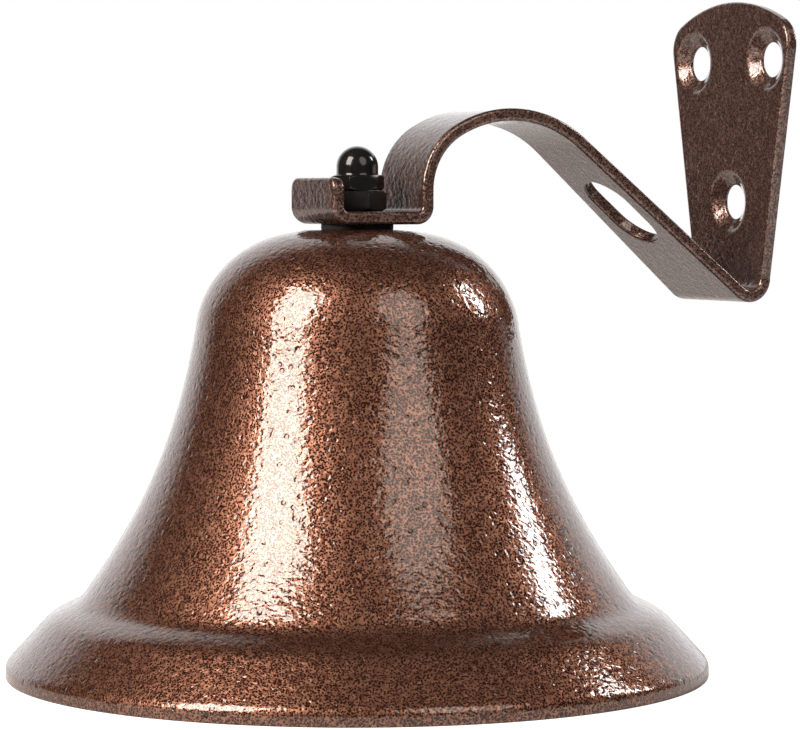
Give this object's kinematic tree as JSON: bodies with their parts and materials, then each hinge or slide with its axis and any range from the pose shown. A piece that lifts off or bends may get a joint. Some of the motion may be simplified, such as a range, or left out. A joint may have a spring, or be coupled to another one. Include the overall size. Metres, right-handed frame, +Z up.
{
  "type": "wall-hung yard dinner bell",
  "caption": "Flared steel bell clamped under a bent strap wall bracket with an eye bolt, with a linked ball clapper that swings inside and an eye for a pull cord.",
  "frame": {"origin": "on the back face of the wall plate, on its centre line, midway in height between the lower screw hole and the two upper ones", "axes": "+X from the bell towards the wall and square to it, +Z up, +Y to the side; the bell's axis is vertical"},
  "size_m": [0.2125, 0.1848, 0.1794],
  "materials": {
    "copper_vein_coat": "hammered powder coat: fine copper speckle on dark brown under an uneven gloss clear coat",
    "gloss_black": "gloss black enamel",
    "satin_black": "satin black coat",
    "black_rubber": "matt black rubber",
    "zinc_plate": "bright zinc plate",
    "black_iron": "black cast iron, slightly rough"
  },
  "bodies": {
    "mounted_bell": {"wall_bracket": "copper_vein_coat", "bell_body": "copper_vein_coat", "acorn_nut": "gloss_black", "clamp_nut": "satin_black", "crown_washer": "black_rubber", "cushion_washer": "black_rubber", "inner_washer": "zinc_plate", "inner_nut": "zinc_plate", "eye_bolt": "zinc_plate"},
    "link": {"hanger_link": "zinc_plate"},
    "clapper": {"clapper_rod": "zinc_plate", "clapper_ball": "black_iron", "cord_eye_nut": "zinc_plate"}
  },
  "joints": [
    {"name": "link_swing", "type": "hinge", "parent": "mounted_bell", "child": "link", "pos_m": [-0.12014, 0, -0.0599], "axis": [1, 0, 0], "range_deg": [-38, 38]},
    {"name": "clapper_swing", "type": "hinge", "parent": "link", "child": "clapper", "pos_m": [-0.12014, 0, -0.0729], "axis": [0, 1, 0], "range_deg": [-28, 28]}
  ]
}
